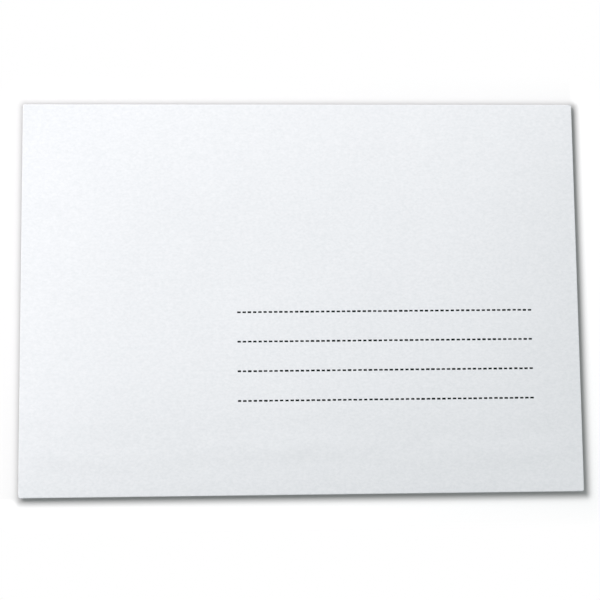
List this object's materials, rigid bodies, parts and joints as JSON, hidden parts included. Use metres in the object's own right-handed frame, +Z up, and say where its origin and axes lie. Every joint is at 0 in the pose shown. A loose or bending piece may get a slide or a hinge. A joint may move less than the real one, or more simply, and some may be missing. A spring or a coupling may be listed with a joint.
{
  "type": "paper envelope",
  "caption": "Flat white paper envelope with pointed back flaps, its address side up, with dashed address lines at the lower right.",
  "frame": {"origin": "on the table, under the middle of the envelope", "axes": "+X along the long side, to the right as the address is read; +Y towards the closing flap's fold at the top edge; +Z up, out of the address side"},
  "size_m": [0.162, 0.114, 0.0026],
  "materials": {
    "white_paper": "matt"
  },
  "bodies": {
    "root": {"envelope_sheet": "white_paper"}
  },
  "joints": []
}
